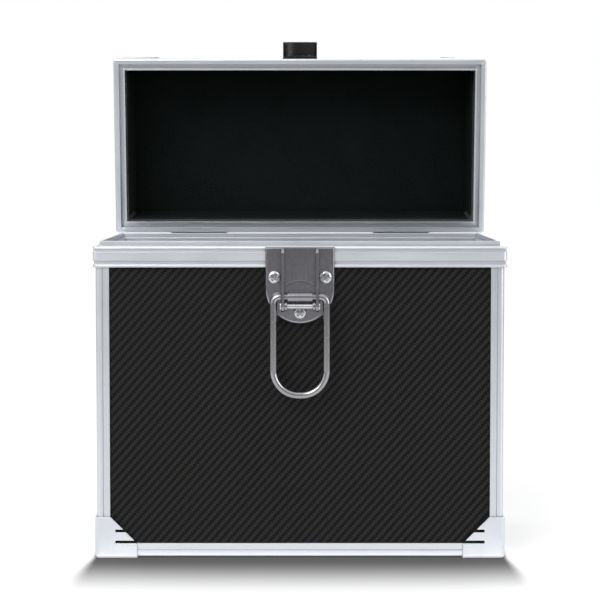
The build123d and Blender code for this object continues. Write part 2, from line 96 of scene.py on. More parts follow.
def body_of_node(node):
    return frame["nodes"][node]["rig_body"]


def closing(node):
    """The turn that brings a node to where it is with the lid shut."""
    return Matrix.Identity(4) if body_of_node(node) == BODY else CLOSED


def nodes_named(*endings):
    return [n for n in sorted(frame["nodes"]) if n.endswith(endings)]


def box_of(points):
    low = Vector(min(p[i] for p in points) for i in range(3))
    high = Vector(max(p[i] for p in points) for i in range(3))
    return low, high


def middle_of(points):
    low, high = box_of(points)
    return (low + high) / 2


def islands(node):
    """The separate solids of a node, each as its vertices with the lid shut."""
    bm = bmesh.new()
    bm.from_mesh(frame["nodes"][node].data)
    bmesh.ops.remove_doubles(bm, verts=bm.verts, dist=MERGED)
    turn = closing(node)
    left = set(bm.verts)
    found = []
    while left:
        queue = [left.pop()]
        island = []
        while queue:
            v = queue.pop()
            island.append(turn @ v.co)
            for e in v.link_edges:
                other = e.other_vert(v)
                if other in left:
                    left.remove(other)
                    queue.append(other)
        found.append(island)
    bm.free()
    return sorted(found, key=lambda vs: tuple(round(c, SORT_PLACES) for c in middle_of(vs)))


def new_object(name, data):
    obj = bpy.data.objects.new(name, data)
    bpy.context.scene.collection.objects.link(obj)
    return obj


def stand_in(name, mesh, crease, node):
    """A visible piece in place of a CAD node, that moves with the node's body."""
    mesh.shade_smooth()
    mesh.set_sharp_from_angle(angle=crease)
    obj = new_object(name, mesh)
    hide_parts(node)
    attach(obj, body_of_node(node))
    return obj


# ---- Settings ----
def number(name, about, default, **more):
    return FloatProperty(name=name, description=about, default=default, **more)


def metres(name, about, default, **limits):
    return number(name, about, default, unit="LENGTH", **limits)


def fraction(name, about, default, most=1.0):
    return number(name, about, default, min=0.0, max=most, subtype="FACTOR")


def of_head(name, about, default, most):
    return fraction(name, about + ", as a share of the head's radius", default, most)


def several(name, about, default, **more):
    return FloatVectorProperty(name=name, description=about, default=default, **more)


def tint(name, about, default):
    return several(name, about, default, subtype="COLOR", min=0, max=1)


class CaseLiningSettings(bpy.types.PropertyGroup):
    crown: metres(
        "Crown", "How much the middle of a soft sheet stands proud of its edges", 0.00025, min=0.0
    )
    edge: metres("Edge rounding", "Width of the rounded edge of a soft sheet", 0.0009, min=0.0001)
    cell: metres(
        "Mesh size", "Size of the squares that a soft sheet is built from", 0.0025, min=0.001
    )
    felt_colour: tint("Felt colour", "Colour of the lining of the body", (0.011, 0.011, 0.012))
    foam_colour: tint("Foam colour", "Colour of the foam in the lid", (0.006, 0.0078, 0.0076))


class CaseFastenerSettings(bpy.types.PropertyGroup):
    grid: IntProperty(
        name="Head grid", description="Squares across one fastener head", default=34, min=8, max=80
    )
    cross_width: of_head("Cross width", "Half of the width of a screw's cross recess", 0.15, 0.5)
    cross_length: of_head("Cross length", "Half of the length of a screw's cross recess", 0.6, 0.9)
    cross_depth: metres("Cross depth", "Depth of a screw's cross recess", 0.0009, min=0.0)
    dimple_radius: of_head("Dimple radius", "Radius of the dimple in a rivet's head", 0.5, 0.9)
    dimple_depth: metres("Dimple depth", "Depth of the dimple in a rivet's head", 0.00055, min=0.0)


class CaseFinishSettings(bpy.types.PropertyGroup):
    tow: metres(
        "Weave strand", "Width of one strand of the weave embossed in the boards' laminate",
        0.00102, min=0.0002,
    )
    steepness: number(
        "Weave steepness", "How much taller than wide the weave's cells are", 1.13, min=0.5, max=2.0
    )
    laminate_light: tint(
        "Laminate, light strands", "Colour of the strands that run up", (0.027, 0.027, 0.0262)
    )
    laminate_dark: tint(
        "Laminate, dark strands", "Colour of the strands that run across", (0.0058, 0.0058, 0.0058)
    )
    aluminium: tint("Aluminium", "Colour of the anodised extrusions", (0.84, 0.87, 0.92))
    guard: tint("Corner guards", "Colour of the plated corner guards", (0.86, 0.89, 0.95))
    nickel: tint("Latch nickel", "Colour of the latch's plating", (0.38, 0.375, 0.405))
    wire: tint("Wire nickel", "Colour of the wire loop", (0.42, 0.42, 0.44))
    zinc: tint("Small steel", "Colour of hinges, brackets, rivets and pins", (0.7, 0.71, 0.73))
    # The catch's near-black colour is painted shade, standing for a plated hook seen in shadow
    painted_shade_enamel: tint("Catch enamel", "Colour of the enamelled catch", (0.012, 0.012, 0.012))
    moulding: tint("Handle moulding", "Colour of the moulded handle", (0.017, 0.017, 0.017))


class CaseStageSettings(bpy.types.PropertyGroup):
    floor: tint("Floor", "Colour of the floor", (0.8, 0.8, 0.8))
    glow: fraction(
        "Floor glow", "How much the floor is lifted towards white where it is seen", 0.45
    )
    sheen: fraction("Mirrored glow", "How much the floor is lifted where it is mirrored", 0.18)
    bounce: fraction(
        "Foot bounce", "How much more the floor at the foot lights what mirrors it", 0.3
    )
    shade_dark: fraction("Foot shade", "How bright the floor is right at the case's foot", 0.10)
    shade_reach: metres("Shade reach", "How far the shade at the foot goes", 0.068, min=0.001)
    shade_inset: metres(
        "Shade inset", "How far in from the case's sides the full shade ends", 0.001
    )
    shade_narrow: number(
        "Shade narrowing", "How much shorter the shade is at the sides and behind than in front",
        18.0, min=1.0,
    )
    shade_soften: number(
        "Shade softening",
        "How fast the shade's sides soften away from the case, as a share for each metre",
        60.0, min=0.0,
    )
    around: fraction("Mirrored sky", "How bright the sky is to what mirrors it", 0.86)
    front: fraction("Dark card", "How bright the dark card in front is to what mirrors it", 0.26)
    card_edge: number(
        "Card edge", "Cosine of the angle from straight ahead at which the dark card ends",
        0.76, min=0.0, max=0.97,
    )
    sky: number("Sky", "Strength of the even light from all round", 0.55, min=0.0)
    key: number("Key lamp", "Power of the large lamp in front, in watts", 9.0, min=0.0)
    fill: number("Fill lamp", "Power of the lamp at the side, in watts", 3.5, min=0.0)
    back: number("Back lamp", "Power of the lamp behind, in watts", 4.0, min=0.0)
    eye: several(
        "Camera place", "Where the camera stands", (0.0, -0.809, 0.19), subtype="TRANSLATION"
    )
    aim: several(
        "Camera aim", "What the camera points at", (0.0, -0.071, 0.157), subtype="TRANSLATION"
    )
    lens: number("Lens", "Focal length of the camera", 92.1, min=20.0, unit="CAMERA")
    drop: number(
        "Shift", "How far the picture is shifted down, as a share of its width",
        -0.107, min=-0.5, max=0.5,
    )


SETTINGS = {
    "case_finish": CaseFinishSettings,
    "case_lining": CaseLiningSettings,
    "case_fasteners": CaseFastenerSettings,
    "case_stage": CaseStageSettings,
}


# ---- Node trees ----
FLOAT = "NodeSocketFloat"
VECTOR = "NodeSocketVector"


def wire_up(tree, socket, value):
    """Joins a node's output to an input, or gives the input a plain value."""
    if isinstance(value, bpy.types.NodeSocket):
        tree.links.new(value, socket)
    else:
        socket.default_value = value


def add(tree, kind, inputs=None, **settings):
    """Adds a node, and returns its outputs."""
    node = tree.nodes.new(kind)
    for name, value in settings.items():
        setattr(node, name, value)
    for key, value in (inputs or {}).items():
        wire_up(tree, node.inputs[key], value)
    return node.outputs


def maths(tree, operation, *values, clamp=False):
    inputs = dict(enumerate(values))
    return add(tree, "ShaderNodeMath", inputs, operation=operation, use_clamp=clamp)[0]


def times(tree, a, b, clamp=False):
    return maths(tree, "MULTIPLY", a, b, clamp=clamp)


def plus(tree, a, b, clamp=False):
    return maths(tree, "ADD", a, b, clamp=clamp)


def minus(tree, a, b):
    return maths(tree, "SUBTRACT", a, b)


def size_of(tree, value):
    return maths(tree, "ABSOLUTE", value)


def slant(tree, a, b):
    """The length of the slope whose legs are a and b."""
    return maths(tree, "SQRT", plus(tree, times(tree, a, a), times(tree, b, b)))


def vector_maths(tree, operation, *values):
    outputs = add(tree, "ShaderNodeVectorMath", dict(enumerate(values)), operation=operation)
    return outputs["Value" if operation in ("DOT_PRODUCT", "LENGTH") else "Vector"]


def split(tree, vector):
    return add(tree, "ShaderNodeSeparateXYZ", {0: vector})


def ramp(tree, value, low, high, to_low=0.0, to_high=1.0, smooth=False):
    inputs = dict(enumerate((value, low, high, to_low, to_high)))
    kind = "SMOOTHSTEP" if smooth else "LINEAR"
    return add(tree, "ShaderNodeMapRange", inputs, interpolation_type=kind)[0]


def between(tree, factor, a, b):
    """From a to b, as the factor goes from 0 to 1."""
    return ramp(tree, factor, 0.0, 1.0, a, b)


def blend_colour(tree, factor, a, b):
    a, b = (c if isinstance(c, bpy.types.NodeSocket) else (*c, 1) for c in (a, b))
    return add(tree, "ShaderNodeMix", {0: factor, 6: a, 7: b}, data_type="RGBA")[2]


def noise_texture(tree, place, scale, detail, roughness=0.5, distortion=0.0):
    inputs = {"Vector": place, "Scale": scale, "Detail": detail, "Roughness": roughness}
    return add(tree, "ShaderNodeTexNoise", {**inputs, "Distortion": distortion})[0]


def new_group(name, kind, inputs, outputs):
    """An empty node group with named sockets: its tree, its input sockets and its output node."""
    tree = bpy.data.node_groups.new(name, kind)
    for label, socket_kind, value in inputs:
        socket = tree.interface.new_socket(name=label, in_out="INPUT", socket_type=socket_kind)
        if value is not None:
            socket.default_value = value
    for label, socket_kind in outputs:
        tree.interface.new_socket(name=label, in_out="OUTPUT", socket_type=socket_kind)
    start = tree.nodes.new("NodeGroupInput")
    end = tree.nodes.new("NodeGroupOutput")
    return tree, start.outputs, end


def place_group(tree, name, **inputs):
    node = tree.nodes.new("ShaderNodeGroup")
    node.node_tree = bpy.data.node_groups[name]
    for key, value in inputs.items():
        wire_up(tree, node.inputs[key.replace("_", " ").capitalize()], value)
    return node.outputs


# ---- Shared effects ----
FACES_ALONG = 0.7  # a normal with more than this along an axis faces along it
HALF_TURN = 3.14159

TWILL_REPEAT = 4.0  # strands before the weave repeats
TWILL_OVER = 1.5  # of those, the ones numbered below this run up on top

BROAD_SCALE = 0.12  # how coarse the broad bands are, against the fine lines

EDGE_SAMPLES = 6
EDGE_SHARP = (0.995, 0.86)  # cosine of the rounded normal's lean: wear starts, wear is full
# Painted shade for the metals' recesses, found by ambient occlusion
RECESS_SHADE_REACH = 0.002
RECESS_SHADE_SAMPLES = 8
RECESS_SHADE_OPEN = (0.9, 0.4)  # how open a place is that gets no painted shade, and that gets all of it
WEAR_SCALE = 170.0
DUST_SCALE = 1400.0
DUST_SLOPE = (0.3, 0.95)  # how far up a surface faces to hold no dust, and to hold it all


def new_effect(name, inputs, outputs):
    """A shader group that takes the turn with which its pattern is laid out on the shut case."""
    return new_group(name, "ShaderNodeTree", [("Turn", FLOAT, 0.0), *inputs], outputs)


def give(tree, end, **values):
    for name, value in values.items():
        wire_up(tree, end.inputs[name], value)


def closed_place(tree, turn):
    return place_group(tree, "closed place", turn=turn)


def build_closed_place():
    """Where a point lies, and which way its surface faces, with the lid shut."""
    tree, start, end = new_effect("closed place", [], [("Place", VECTOR), ("Facing", VECTOR)])
    place = add(tree, "ShaderNodeTexCoord")["Object"]
    normal = add(tree, "ShaderNodeNewGeometry")["Normal"]
    to_object = {"vector_type": "NORMAL", "convert_from": "WORLD", "convert_to": "OBJECT"}
    normal = add(tree, "ShaderNodeVectorTransform", {0: normal}, **to_object)[0]

    def turned(inputs):
        inputs["Angle"] = start["Turn"]
        return add(tree, "ShaderNodeVectorRotate", inputs, rotation_type="X_AXIS")[0]

    moved = turned({"Vector": place, "Center": LID_AXIS})
    give(tree, end, Place=moved, Facing=turned({"Vector": normal}))


def build_flat_place():
    """Two coordinates across and up a flat face, as seen from outside."""
    tree, start, end = new_effect("flat place", [], [("Across", FLOAT), ("Up", FLOAT)])
    here = closed_place(tree, start["Turn"])
    x, y, z = split(tree, here["Place"])
    nx, ny, nz = split(tree, here["Facing"])
    on_side = maths(tree, "GREATER_THAN", size_of(tree, nx), FACES_ALONG)
    on_top = maths(tree, "GREATER_THAN", size_of(tree, nz), FACES_ALONG)
    front = times(tree, x, maths(tree, "SIGN", times(tree, ny, -1.0)))
    side = times(tree, y, maths(tree, "SIGN", nx))
    across = between(tree, on_top, between(tree, on_side, front, side), x)
    give(tree, end, Across=across, Up=between(tree, on_top, z, y))


def build_twill():
    """A two-over-two weave whose ribs rise to the right."""
    inputs = [("Strand", FLOAT, 0.001), ("Steepness", FLOAT, 1.0)]
    outputs = [("Height", FLOAT), ("Upright", FLOAT)]
    tree, start, end = new_effect("twill weave", inputs, outputs)
    flat = place_group(tree, "flat place", turn=start["Turn"])
    u = maths(tree, "DIVIDE", flat["Across"], start["Strand"])
    v = maths(tree, "DIVIDE", flat["Up"], times(tree, start["Strand"], start["Steepness"]))
    cell = minus(tree, maths(tree, "FLOOR", u), maths(tree, "FLOOR", v))
    strand = maths(tree, "FLOORED_MODULO", cell, TWILL_REPEAT)
    upright = maths(tree, "LESS_THAN", strand, TWILL_OVER)

    def rounded(value):
        return maths(tree, "SINE", times(tree, maths(tree, "FRACT", value), HALF_TURN))

    round_u = rounded(u)
    round_v = rounded(v)
    give(tree, end, Height=between(tree, upright, round_v, round_u), Upright=upright)


def build_drawn_lines():
    """Fine lines left along a drawn or brushed surface, in broad bands."""
    inputs = [("Stretch", VECTOR, WHITE), ("Scale", FLOAT, 1500.0)]
    tree, start, end = new_effect("drawn lines", inputs, [("Lines", FLOAT), ("Bands", FLOAT)])
    here = closed_place(tree, start["Turn"])
    stretched = vector_maths(tree, "MULTIPLY", here["Place"], start["Stretch"])
    fine = noise_texture(tree, stretched, start["Scale"], 3.0, 0.6)
    broad = noise_texture(tree, stretched, times(tree, start["Scale"], BROAD_SCALE), 2.0)
    give(tree, end, Lines=fine, Bands=broad)


def build_edge_wear_and_recess_shade():
    """Where sharp outer edges have rubbed, and where close recesses get painted shade."""
    inputs = [("Width", FLOAT, 0.0004), ("Amount", FLOAT, 0.5)]
    outputs = [("Wear", FLOAT), ("Recess", FLOAT), ("Normal", VECTOR)]
    tree, start, end = new_effect("edge wear", inputs, outputs)
    # The Recess mask marks close recesses, which the metals darken as painted shade
    nearby = {"Distance": RECESS_SHADE_REACH}
    closeness = add(tree, "ShaderNodeAmbientOcclusion", nearby, samples=RECESS_SHADE_SAMPLES)
    recess = ramp(tree, closeness["AO"], *RECESS_SHADE_OPEN)
    bevel = {"Radius": start["Width"]}
    rounded = add(tree, "ShaderNodeBevel", bevel, samples=EDGE_SAMPLES)[0]
    normal = add(tree, "ShaderNodeNewGeometry")["Normal"]
    edge = ramp(tree, vector_maths(tree, "DOT_PRODUCT", rounded, normal), *EDGE_SHARP)
    here = closed_place(tree, start["Turn"])
    patches = noise_texture(tree, here["Place"], WEAR_SCALE, 4.0, 0.65)
    broken = ramp(tree, patches, 0.42, 0.62)
    wear = times(tree, times(tree, edge, broken), start["Amount"], clamp=True)
    give(tree, end, Wear=wear, Recess=recess, Normal=rounded)


def build_handling():
    """Soft uneven marks from handling, and a little dust on what faces up."""
    outputs = [("Marks", FLOAT), ("Dust", FLOAT)]
    tree, start, end = new_effect("handling marks", [("Scale", FLOAT, 28.0)], outputs)
    here = closed_place(tree, start["Turn"])
    marks = ramp(tree, noise_texture(tree, here["Place"], start["Scale"], 5.0, 0.6), 0.3, 0.7)
    up = split(tree, here["Facing"])["Z"]
    specks = noise_texture(tree, here["Place"], DUST_SCALE, 2.0)
    dust = times(tree, ramp(tree, up, *DUST_SLOPE), ramp(tree, specks, 0.6, 0.75))
    give(tree, end, Marks=marks, Dust=dust)


def build_grain():
    """Fine moulded or sprayed grain."""
    inputs = [("Scale", FLOAT, 1800.0)]
    tree, start, end = new_effect("fine grain", inputs, [("Height", FLOAT)])
    here = closed_place(tree, start["Turn"])
    cells = {"Vector": here["Place"], "Scale": start["Scale"], "Smoothness": 0.6}
    grain = add(tree, "ShaderNodeTexVoronoi", cells, feature="SMOOTH_F1")
    give(tree, end, Height=grain["Distance"])


def build_effects():
    """The closed place comes first and the flat place second, as the others use them."""
    build_closed_place()
    build_flat_place()
    build_twill()
    build_drawn_lines()
    build_edge_wear_and_recess_shade()
    build_handling()
    build_grain()


# ---- Materials ----
# Colours that are worn, dusty or dark against a piece's own colour, among them painted shade for
# recesses and for the weave's hollows
WEAVE_HOLLOW_SHADE = (0.003, 0.003, 0.003)
DUST = (0.2, 0.2, 0.19)
RECESS_SHADE = (0.05, 0.05, 0.05)
RUBBED_ENAMEL = (0.16, 0.16, 0.16)
RUBBED_MOULDING = (0.05, 0.05, 0.05)
HANDLED_MOULDING = (0.024, 0.024, 0.024)

DUST_AMOUNT = 0.25
RECESS_SHADE_AMOUNT = 0.45
HANDLED_AMOUNT = 0.3
LINE_DEPTH = 0.00001

# A metal's lines are stretched along the way that it was drawn
ALONG = {"x": (0.01, 1.0, 1.0), "y": (1.0, 0.01, 1.0), "z": (1.0, 1.0, 0.01)}
BRUSHED = (1.0, 1.0, 0.6)


def new_material(name, **constants):
    """A material with one Principled shader, and its tree."""
    material = bpy.data.materials.new(name)
    material.use_nodes = True
    shader = material.node_tree.nodes["Principled BSDF"]
    for key, value in constants.items():
        label = key.replace("_", " ").title().replace("Ior", "IOR")
        shader.inputs[label].default_value = value
    return material, material.node_tree, shader


def bump(tree, shader, height, distance, strength, normal=None):
    inputs = {"Height": height, "Distance": distance, "Strength": strength}
    if normal is not None:
        inputs["Normal"] = normal
    wire_up(tree, shader.inputs["Normal"], add(tree, "ShaderNodeBump", inputs)[0])


def paint(tree, shader, base, rough):
    wire_up(tree, shader.inputs["Base Color"], base)
    wire_up(tree, shader.inputs["Roughness"], rough)


def shaded(rgb, share, lift=0.0):
    """A colour made darker or lighter."""
    return tuple(min(1.0, c * share + lift) for c in rgb)


def turn_for(body):
    """A lid piece's pattern is laid out as on the closed lid."""
    return LID_ANGLE if body in (LID, "handle") else 0.0


def effect(tree, body, name, **inputs):
    return place_group(tree, name, turn=turn_for(body), **inputs)


def made_once(build):
    """Gives back the same material when it is asked for again."""
    done = {}

    def ask(*key):
        if key not in done:
            done[key] = build(*key)
        return done[key]

    return ask


@made_once
def laminate(body):
    f = bpy.context.scene.case_finish
    material, tree, shader = new_material(f"panel_laminate_{body}", specular_ior_level=0.12)
    weave = effect(tree, body, "twill weave", strand=f.tow, steepness=f.steepness)
    marks = effect(tree, body, "handling marks", scale=18.0)
    base = blend_colour(tree, weave["Upright"], f.laminate_dark, f.laminate_light)
    # Painted shade: the weave's hollows are darkened
    base = blend_colour(tree, between(tree, weave["Height"], 0.6, 1.0), WEAVE_HOLLOW_SHADE, base)
    base = blend_colour(tree, times(tree, marks["Dust"], DUST_AMOUNT), base, DUST)
    paint(tree, shader, base, between(tree, marks["Marks"], 0.4, 0.52))
    bump(tree, shader, weave["Height"], 0.00012, 0.8)
    return material


def metal(name, body, rgb, rough, stretch, scale, lines=0.35, wear=0.3, edge=0.0003):
    """Plated, drawn or anodised metal with fine lines, soft edges, a little rubbing and painted
    shade in its recesses.
    """
    material, tree, shader = new_material(name, metallic=1.0)
    drawn = effect(tree, body, "drawn lines", stretch=stretch, scale=scale)
    rubbed = effect(tree, body, "edge wear", width=edge, amount=wear)
    marks = effect(tree, body, "handling marks", scale=45.0)
    base = blend_colour(tree, drawn["Bands"], shaded(rgb, 0.9), shaded(rgb, 1.06))
    base = blend_colour(tree, rubbed["Wear"], base, shaded(rgb, 1.25, 0.03))
    # Painted shade: the metal darkens in its recesses, where shade falls
    base = blend_colour(tree, times(tree, rubbed["Recess"], RECESS_SHADE_AMOUNT), base, RECESS_SHADE)
    fine = ramp(tree, drawn["Lines"], 0.3, 0.7, rough - 0.04, rough + 0.05)
    uneven = plus(tree, fine, between(tree, marks["Marks"], -0.02, 0.04), clamp=True)
    paint(tree, shader, base, uneven)
    bump(tree, shader, drawn["Lines"], LINE_DEPTH, lines, rubbed["Normal"])
    return material


@made_once
def extrusion(kind, along, body):
    rgb = bpy.context.scene.case_finish.aluminium
    rough = 0.42 if (kind, body) == ("rim", BODY) else 0.36
    return metal(f"{kind}_aluminium_{body}_{along}", body, rgb, rough, ALONG[along], 2200.0)


@made_once
def pressed(kind, body):
    """Plated steel pieces, by kind."""
    f = bpy.context.scene.case_finish
    rgb, rough, lines = {
        "corner": (f.guard, 0.3, 0.15),
        "latch": (f.nickel, 0.17, 0.06),
        "wire": (f.wire, 0.15, 0.05),
        "screw": (f.zinc, 0.14, 0.02),
        "rivet": (f.zinc, 0.27, 0.2),
        "hinge": (f.zinc, 0.3, 0.3),
        "pin": (f.zinc, 0.25, 0.2),
    }[kind]
    return metal(f"{kind}_steel_{body}", body, rgb, rough, BRUSHED, 900.0, lines, 0.35, 0.00025)


# The catch is painted black as painted shade for a plated hook in shadow; its lighter edges are
# rubbed wear
@made_once
def painted_shade_enamel(body):
    material, tree, shader = new_material(
        f"catch_enamel_{body}", specular_ior_level=0.35, coat_weight=0.15, coat_roughness=0.15
    )
    grain = effect(tree, body, "fine grain", scale=900.0)
    rubbed = effect(tree, body, "edge wear", width=0.0003, amount=0.5)
    marks = effect(tree, body, "handling marks", scale=60.0)
    own = bpy.context.scene.case_finish.painted_shade_enamel
    base = blend_colour(tree, rubbed["Wear"], own, RUBBED_ENAMEL)
    paint(tree, shader, base, between(tree, marks["Marks"], 0.24, 0.38))
    bump(tree, shader, grain["Height"], 0.00004, 0.25, rubbed["Normal"])
    return material


@made_once
def moulding(body):
    material, tree, shader = new_material(f"handle_moulding_{body}", specular_ior_level=0.45)
    grain = effect(tree, body, "fine grain", scale=1500.0)
    rubbed = effect(tree, body, "edge wear", width=0.0004, amount=0.4)
    marks = effect(tree, body, "handling marks", scale=35.0)
    own = bpy.context.scene.case_finish.moulding
    base = blend_colour(tree, rubbed["Wear"], own, RUBBED_MOULDING)
    handled = times(tree, marks["Marks"], HANDLED_AMOUNT)
    base = blend_colour(tree, handled, base, HANDLED_MOULDING)
    paint(tree, shader, base, between(tree, marks["Marks"], 0.42, 0.58))
    bump(tree, shader, grain["Height"], 0.00006, 0.5, rubbed["Normal"])
    return material


def mottle_with_grain_shade(tree, shader, own, grain, light, patches, pale):
    """Colours a lining: darkened with painted shade in its grain's hollows, lightened with a
    painted highlight on top of it, and pale in patches.
    """
    base = blend_colour(tree, ramp(tree, *grain), shaded(own, 0.4), shaded(own, light))
    base = blend_colour(tree, ramp(tree, *patches), base, shaded(own, pale))
    wire_up(tree, shader.inputs["Base Color"], base)


@made_once
def felt(body):
    name = f"lining_felt_{body}"
    sheen = {"sheen_weight": 0.08, "sheen_roughness": 0.5}
    material, tree, shader = new_material(name, roughness=0.95, specular_ior_level=0.08, **sheen)
    here = effect(tree, body, "closed place")
    fibres = noise_texture(tree, here["Place"], 1300.0, 4.0, 0.7, 1.5)
    patches = noise_texture(tree, here["Place"], 60.0, 3.0)
    own = bpy.context.scene.case_lining.felt_colour
    mottle_with_grain_shade(tree, shader, own, (fibres, 0.3, 0.7), 1.9, (patches, 0.3, 0.7, 0.0, 0.5), 2.2)
    bump(tree, shader, fibres, 0.00025, 0.6)
    return material


@made_once
def foam(body):
    name = f"lining_foam_{body}"
    material, tree, shader = new_material(name, roughness=0.95, specular_ior_level=0.06)
    here = effect(tree, body, "closed place")
    texture = {"Vector": here["Place"], "Scale": 1500.0}
    cells = add(tree, "ShaderNodeTexVoronoi", texture, feature="F1")["Distance"]
    patches = noise_texture(tree, here["Place"], 40.0, 3.0)
    own = bpy.context.scene.case_lining.foam_colour
    mottle_with_grain_shade(tree, shader, own, (cells, 0.1, 0.6), 1.8, (patches, 0.35, 0.65, 0.0, 0.4), 2.1)
    bump(tree, shader, cells, 0.0002, 0.5)
    return material


# ---- CAD pieces that keep their shape ----
def finish(nodes, look, *kind):
    """Gives each node the look, laid out for the body that the node is on."""
    for node in nodes:
        materials = frame["nodes"][node].data.materials
        materials.clear()
        materials.append(look(*kind, body_of_node(node)))


def along_of(node):
    """The way an extrusion runs, from its name."""
    if "post" in node:
        return "z"
    return "y" if "_left_" in node or "_right_" in node else "x"


class CASE_OT_boards(bpy.types.Operator):
    """Boards with an embossed diagonal weave"""
    bl_idname = "case.boards"
    bl_label = "Boards"

    def execute(self, context):
        finish(nodes_named("_panel"), laminate)
        return {"FINISHED"}


class CASE_OT_extrusions(bpy.types.Operator):
    """Aluminium edge, corner and rim extrusions"""
    bl_idname = "case.extrusions"
    bl_label = "Extrusions"

    def execute(self, context):
        for node in nodes_named("_edge_rail", "_post", "_posts"):
            finish([node], extrusion, "edge", along_of(node))
        for node in nodes_named("_rim_rail"):
            finish([node], extrusion, "rim", along_of(node))
        return {"FINISHED"}


class CASE_OT_corner_guards(bpy.types.Operator):
    """Pressed corner guards"""
    bl_idname = "case.corner_guards"
    bl_label = "Corner guards"

    def execute(self, context):
        finish(nodes_named("_corner_guard"), pressed, "corner")
        return {"FINISHED"}


class CASE_OT_hinges(bpy.types.Operator):
    """Hinge leaves and pins"""
    bl_idname = "case.hinges"
    bl_label = "Hinges"

    def execute(self, context):
        finish(["hinge_body_leaves", "hinge_lid_leaves"], pressed, "hinge")
        finish(["hinge_pins"], pressed, "pin")
        return {"FINISHED"}


class CASE_OT_latch(bpy.types.Operator):
    """Draw latch: base, lever, pin, bush, wire loop and catch"""
    bl_idname = "case.latch"
    bl_label = "Latch"

    def execute(self, context):
        finish(["latch_base", "latch_lever", "bail_bush"], pressed, "latch")
        finish(["latch_pin"], pressed, "pin")
        finish(["bail"], pressed, "wire")
        finish(["catch"], painted_shade_enamel)
        return {"FINISHED"}


class CASE_OT_handle(bpy.types.Operator):
    """Carrying handle, its brackets and its pins"""
    bl_idname = "case.handle"
    bl_label = "Handle"

    def execute(self, context):
        finish(["handle"], moulding)
        finish(["handle_brackets"], pressed, "hinge")
        finish(["handle_pins"], pressed, "pin")
        return {"FINISHED"}


# ---- Soft linings ----
WALL_LININGS = {BODY: "body_wall_lining", LID: "lid_wall_lining"}

EDGE_PLACES = (0.0, 0.12, 0.34, 0.64)  # rows in the rounded edge, as shares of its width
EDGE_FALL = 0.55  # how far the face falls at its edge, as a share of the sheet's thickness
FEWEST_CELLS = 4
CROWN_REACH = 6  # the crown is full this many edge widths in
CROWN_EVEN, CROWN_WAVE, CROWN_FINE = 0.55, 0.35, 0.1  # what the crown is made of
WAVE_SCALE = 42
FINE_SCALE = 160
FINE_SEED = 9
SHEET_SEED = 3.0  # each sheet of a lining gets waves of its own
SHEET_CREASE = radians(50)


def soft_sheet(bm, island, facing, s, seed):
    """Adds one closed soft sheet in place of a thin solid, crowned and round-edged on its face.

    A back that is narrower than the face, as where the sheet laps over a rail, keeps its step.
    """
    low, high = box_of(island)
    thin = min(range(3), key=lambda i: high[i] - low[i])
    u, v = [i for i in range(3) if i != thin]
    thick = high[thin] - low[thin]
    side = 1 if facing[thin] > 0 else -1
    base = low[thin] if side > 0 else high[thin]
    size = (high[u] - low[u], high[v] - low[v])

    def steps(length):
        """Places across the sheet, closer together in the rounded edge."""
        n = max(FEWEST_CELLS, round(length / s.cell))
        inner = [s.edge + (length - 2 * s.edge) * i / n for i in range(n + 1)]
        edge = [s.edge * t for t in EDGE_PLACES]
        return edge + inner + [length - e for e in reversed(edge)]

    def drop(near):
        """How far the face falls back this near to an edge."""
        t = max(0.0, 1 - near / s.edge)
        return EDGE_FALL * thick * (1 - (1 - t * t) ** 0.5)

    def face_level(a, b):
        """How high the face stands over its back."""
        near = min(a, size[0] - a, b, size[1] - b)
        wave = noise.noise(Vector((a * WAVE_SCALE, b * WAVE_SCALE, seed)))
        fine = noise.noise(Vector((a * FINE_SCALE, b * FINE_SCALE, seed + FINE_SEED)))
        inland = min(1.0, near / (CROWN_REACH * s.edge))
        uneven = CROWN_EVEN + CROWN_WAVE * wave + CROWN_FINE * fine
        rise = thick - s.crown + s.crown * inland * uneven
        return rise - drop(near)

    def vertex(along_u, along_v, level):
        point = [0.0, 0.0, 0.0]
        point[u], point[v], point[thin] = along_u, along_v, level
        return bm.verts.new(point)

    us, vs = steps(size[0]), steps(size[1])
    rows = [
        [vertex(low[u] + a, low[v] + b, base + side * face_level(a, b)) for b in vs] for a in us
    ]
    for row, after in zip(rows, rows[1:]):
        for j in range(len(vs) - 1):
            bm.faces.new((row[j], after[j], after[j + 1], row[j + 1]))

    # Once round the face's edge, then back by way of the lap, if there is one
    ring = rows[0] + [r[-1] for r in rows[1:]] + rows[-1][-2::-1] + [r[0] for r in rows[-2:0:-1]]
    shares = [((p.co[u] - low[u]) / size[0], (p.co[v] - low[v]) / size[1]) for p in ring]
    foot = box_of([p for p in island if abs(p[thin] - base) < TOUCHING])
    steps_back = [(low, high, base)]
    if high[u] - foot[1][u] > APART:
        beyond = (p[thin] for p in island if p[u] > foot[1][u] + TOUCHING)
        lap = min(beyond, key=lambda level: abs(level - base))
        steps_back = [(low, high, lap), (*foot, lap), (*foot, base)]
    for floor, roof, level in steps_back:
        span_u, span_v = roof[u] - floor[u], roof[v] - floor[v]
        back = [vertex(floor[u] + a * span_u, floor[v] + b * span_v, level) for a, b in shares]
        for i in range(len(ring)):
            j = (i + 1) % len(ring)
            bm.faces.new((ring[i], ring[j], back[j], back[i]))
        ring = back
    bm.faces.new(ring)


def build_lining(name, node, material):
    """The soft lining that stands for one CAD lining."""
    s = bpy.context.scene.case_lining
    walls = islands(WALL_LININGS[body_of_node(node)])
    middle = middle_of([p for island in walls for p in island])
    bm = bmesh.new()
    for i, island in enumerate(islands(node)):
        soft_sheet(bm, island, middle - middle_of(island), s, SHEET_SEED * i)
    bmesh.ops.recalc_face_normals(bm, faces=bm.faces)
    bm.transform(closing(node).inverted())
    mesh = bpy.data.meshes.new(name)
    bm.to_mesh(mesh)
    bm.free()
    mesh.materials.append(material)
    stand_in(name, mesh, SHEET_CREASE, node)


